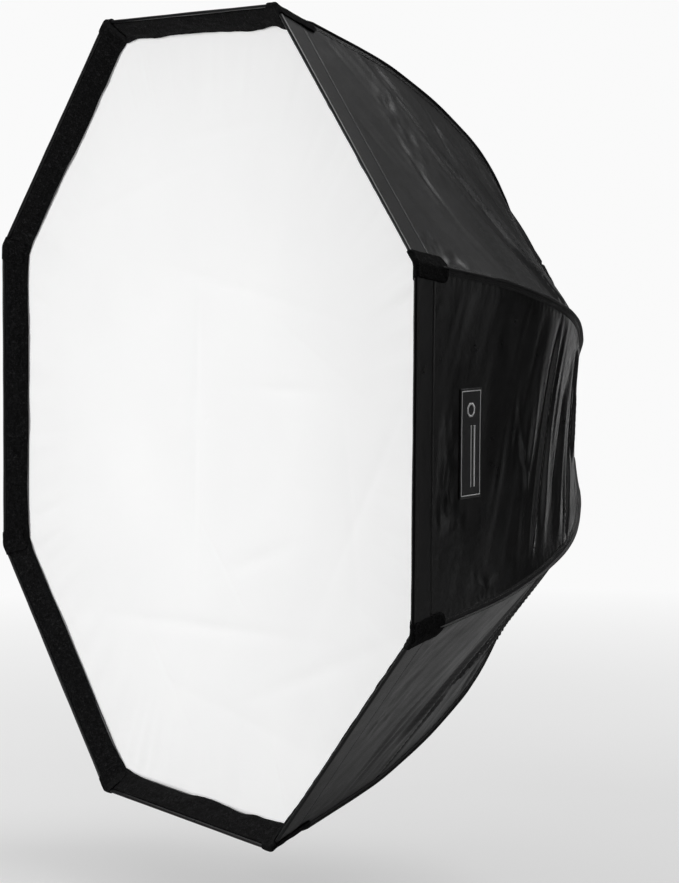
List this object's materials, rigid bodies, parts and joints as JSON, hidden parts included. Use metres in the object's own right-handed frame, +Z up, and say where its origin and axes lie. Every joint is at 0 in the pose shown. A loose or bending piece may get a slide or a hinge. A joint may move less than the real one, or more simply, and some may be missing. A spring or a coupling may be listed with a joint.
{
  "type": "studio softbox",
  "caption": "Octagonal umbrella-type studio softbox: folding rib frame on a rotating bayonet speedring, black cover, inner and outer diffusers.",
  "frame": {"origin": "centre of the bayonet insert's seat face, on the axis of the lamp opening", "axes": "+Y back into the lamp along the opening's axis, the softbox opens toward -Y, +Z up, +X across; two flats of the octagon are vertical"},
  "size_m": [1.133, 0.622, 1.133],
  "materials": {
    "cover_nylon": "satin black coated nylon, silver inside",
    "diffusion_cloth": "matt white translucent cloth",
    "hook_and_loop": "matt black pile tape",
    "binding_tape": "ribbed black tape",
    "patch_cloth": "woven satin patch",
    "insert_alloy": "fine turned",
    "ring_paint": "satin black powder coat",
    "bright_steel": "brushed",
    "zinc_steel": "zinc plated",
    "spring_steel": "oiled spring steel",
    "black_nylon": "moulded",
    "white_nylon": "moulded",
    "button_red": "moulded",
    "fibre": "pressed fibre"
  },
  "bodies": {
    "mount_insert": {"bayonet_insert": "insert_alloy", "insert_circlip": "spring_steel"},
    "speedring": {"speedring_plate": "ring_paint", "friction_washer": "fibre", "hinge_pins": "bright_steel", "guide_posts": "bright_steel", "latch_studs": "bright_steel", "front_stop_ring": "ring_paint", "post_screws": "zinc_steel", "canopy": "cover_nylon", "seam_bindings": "binding_tape", "rib_pockets": "binding_tape", "rim_hook_tape": "hook_and_loop", "diffuser_border": "hook_and_loop", "outer_diffuser": "diffusion_cloth", "inner_diffuser": "diffusion_cloth", "baffle_straps": "binding_tape", "corner_tabs": "hook_and_loop", "label_patch": "patch_cloth", "rear_cuff": "cover_nylon"},
    "rotation_lock": {"lock_screw": "zinc_steel", "lock_knob": "black_nylon"},
    "runner": {"runner_ring": "ring_paint", "runner_bushes": "white_nylon", "runner_pins": "bright_steel", "button_springs": "spring_steel"},
    "button_1": {"release_button_1": "button_red"},
    "button_2": {"release_button_2": "button_red"},
    "rib_1": {"rib_bracket_1": "zinc_steel", "rib_rod_1": "spring_steel", "rib_tip_1": "black_nylon"},
    "rib_2": {"rib_bracket_2": "zinc_steel", "rib_rod_2": "spring_steel", "rib_tip_2": "black_nylon"},
    "rib_3": {"rib_bracket_3": "zinc_steel", "rib_rod_3": "spring_steel", "rib_tip_3": "black_nylon"},
    "rib_4": {"rib_bracket_4": "zinc_steel", "rib_rod_4": "spring_steel", "rib_tip_4": "black_nylon"},
    "rib_5": {"rib_bracket_5": "zinc_steel", "rib_rod_5": "spring_steel", "rib_tip_5": "black_nylon"},
    "rib_6": {"rib_bracket_6": "zinc_steel", "rib_rod_6": "spring_steel", "rib_tip_6": "black_nylon"},
    "rib_7": {"rib_bracket_7": "zinc_steel", "rib_rod_7": "spring_steel", "rib_tip_7": "black_nylon"},
    "rib_8": {"rib_bracket_8": "zinc_steel", "rib_rod_8": "spring_steel", "rib_tip_8": "black_nylon"},
    "link_1": {"strut_1": "zinc_steel"},
    "link_2": {"strut_2": "zinc_steel"},
    "link_3": {"strut_3": "zinc_steel"},
    "link_4": {"strut_4": "zinc_steel"},
    "link_5": {"strut_5": "zinc_steel"},
    "link_6": {"strut_6": "zinc_steel"},
    "link_7": {"strut_7": "zinc_steel"},
    "link_8": {"strut_8": "zinc_steel"}
  },
  "joints": [
    {"name": "softbox_rotation", "type": "hinge", "parent": "mount_insert", "child": "speedring", "pos_m": [0, 0, 0], "axis": [0, 1, 0], "continuous": true},
    {"name": "rotation_lock_turn", "type": "hinge", "parent": "speedring", "child": "rotation_lock", "pos_m": [0.06364, -0.0095, 0.06364], "axis": [0.7071, 0, 0.7071], "range_deg": [0, 360]},
    {"name": "frame_fold", "type": "hinge", "parent": "speedring", "child": "rib_1", "pos_m": [0.08962, -0.032, 0.03712], "axis": [0.3827, 0, -0.9239], "range_deg": [0, 40], "deforming": ["canopy", "seam_bindings", "rib_pockets", "rim_hook_tape", "diffuser_border", "outer_diffuser", "inner_diffuser", "baffle_straps", "corner_tabs", "label_patch", "rear_cuff"]},
    {"name": "rib_2_hinge", "type": "hinge", "parent": "speedring", "child": "rib_2", "pos_m": [0.03712, -0.032, 0.08962], "axis": [0.9239, 0, -0.3827], "range_deg": [0, 40]},
    {"name": "rib_3_hinge", "type": "hinge", "parent": "speedring", "child": "rib_3", "pos_m": [-0.03712, -0.032, 0.08962], "axis": [0.9239, 0, 0.3827], "range_deg": [0, 40]},
    {"name": "rib_4_hinge", "type": "hinge", "parent": "speedring", "child": "rib_4", "pos_m": [-0.08962, -0.032, 0.03712], "axis": [0.3827, 0, 0.9239], "range_deg": [0, 40]},
    {"name": "rib_5_hinge", "type": "hinge", "parent": "speedring", "child": "rib_5", "pos_m": [-0.08962, -0.032, -0.03712], "axis": [-0.3827, 0, 0.9239], "range_deg": [0, 40]},
    {"name": "rib_6_hinge", "type": "hinge", "parent": "speedring", "child": "rib_6", "pos_m": [-0.03712, -0.032, -0.08962], "axis": [-0.9239, 0, 0.3827], "range_deg": [0, 40]},
    {"name": "rib_7_hinge", "type": "hinge", "parent": "speedring", "child": "rib_7", "pos_m": [0.03712, -0.032, -0.08962], "axis": [-0.9239, 0, -0.3827], "range_deg": [0, 40]},
    {"name": "rib_8_hinge", "type": "hinge", "parent": "speedring", "child": "rib_8", "pos_m": [0.08962, -0.032, -0.03712], "axis": [-0.3827, 0, -0.9239], "range_deg": [0, 40]},
    {"name": "runner_slide", "type": "slide", "parent": "speedring", "child": "runner", "axis": [0, -1, 0], "range_m": [0, 0.0557]},
    {"name": "strut_1_hinge", "type": "hinge", "parent": "runner", "child": "link_1", "pos_m": [0.07577, -0.07359, 0.03138], "axis": [-0.3827, 0, 0.9239], "range_deg": [0, 24.5]},
    {"name": "strut_2_hinge", "type": "hinge", "parent": "runner", "child": "link_2", "pos_m": [0.03138, -0.07359, 0.07577], "axis": [-0.9239, 0, 0.3827], "range_deg": [0, 24.5]},
    {"name": "strut_3_hinge", "type": "hinge", "parent": "runner", "child": "link_3", "pos_m": [-0.03138, -0.07359, 0.07577], "axis": [-0.9239, 0, -0.3827], "range_deg": [0, 24.5]},
    {"name": "strut_4_hinge", "type": "hinge", "parent": "runner", "child": "link_4", "pos_m": [-0.07577, -0.07359, 0.03138], "axis": [-0.3827, 0, -0.9239], "range_deg": [0, 24.5]},
    {"name": "strut_5_hinge", "type": "hinge", "parent": "runner", "child": "link_5", "pos_m": [-0.07577, -0.07359, -0.03138], "axis": [0.3827, 0, -0.9239], "range_deg": [0, 24.5]},
    {"name": "strut_6_hinge", "type": "hinge", "parent": "runner", "child": "link_6", "pos_m": [-0.03138, -0.07359, -0.07577], "axis": [0.9239, 0, -0.3827], "range_deg": [0, 24.5]},
    {"name": "strut_7_hinge", "type": "hinge", "parent": "runner", "child": "link_7", "pos_m": [0.03138, -0.07359, -0.07577], "axis": [0.9239, 0, 0.3827], "range_deg": [0, 24.5]},
    {"name": "strut_8_hinge", "type": "hinge", "parent": "runner", "child": "link_8", "pos_m": [0.07577, -0.07359, -0.03138], "axis": [0.3827, 0, 0.9239], "range_deg": [0, 24.5]},
    {"name": "release_button_1_press", "type": "slide", "parent": "runner", "child": "button_1", "axis": [0.7071, 0, -0.7071], "range_m": [0, 0.002], "stiffness_N_per_m": 400, "springref_m": -0.001, "deforming": ["button_springs"]},
    {"name": "release_button_2_press", "type": "slide", "parent": "runner", "child": "button_2", "axis": [-0.7071, 0, 0.7071], "range_m": [0, 0.002], "stiffness_N_per_m": 400, "springref_m": -0.001, "deforming": ["button_springs"]}
  ],
  "couplings": [
    {"joint": "rib_2_hinge", "follows": "frame_fold", "ratio": 1},
    {"joint": "rib_3_hinge", "follows": "frame_fold", "ratio": 1},
    {"joint": "rib_4_hinge", "follows": "frame_fold", "ratio": 1},
    {"joint": "rib_5_hinge", "follows": "frame_fold", "ratio": 1},
    {"joint": "rib_6_hinge", "follows": "frame_fold", "ratio": 1},
    {"joint": "rib_7_hinge", "follows": "frame_fold", "ratio": 1},
    {"joint": "rib_8_hinge", "follows": "frame_fold", "ratio": 1},
    {"joint": "runner_slide", "follows": "frame_fold", "m_per_rad": 0.07978},
    {"joint": "strut_1_hinge", "follows": "frame_fold", "ratio": 0.61},
    {"joint": "strut_2_hinge", "follows": "frame_fold", "ratio": 0.61},
    {"joint": "strut_3_hinge", "follows": "frame_fold", "ratio": 0.61},
    {"joint": "strut_4_hinge", "follows": "frame_fold", "ratio": 0.61},
    {"joint": "strut_5_hinge", "follows": "frame_fold", "ratio": 0.61},
    {"joint": "strut_6_hinge", "follows": "frame_fold", "ratio": 0.61},
    {"joint": "strut_7_hinge", "follows": "frame_fold", "ratio": 0.61},
    {"joint": "strut_8_hinge", "follows": "frame_fold", "ratio": 0.61}
  ]
}
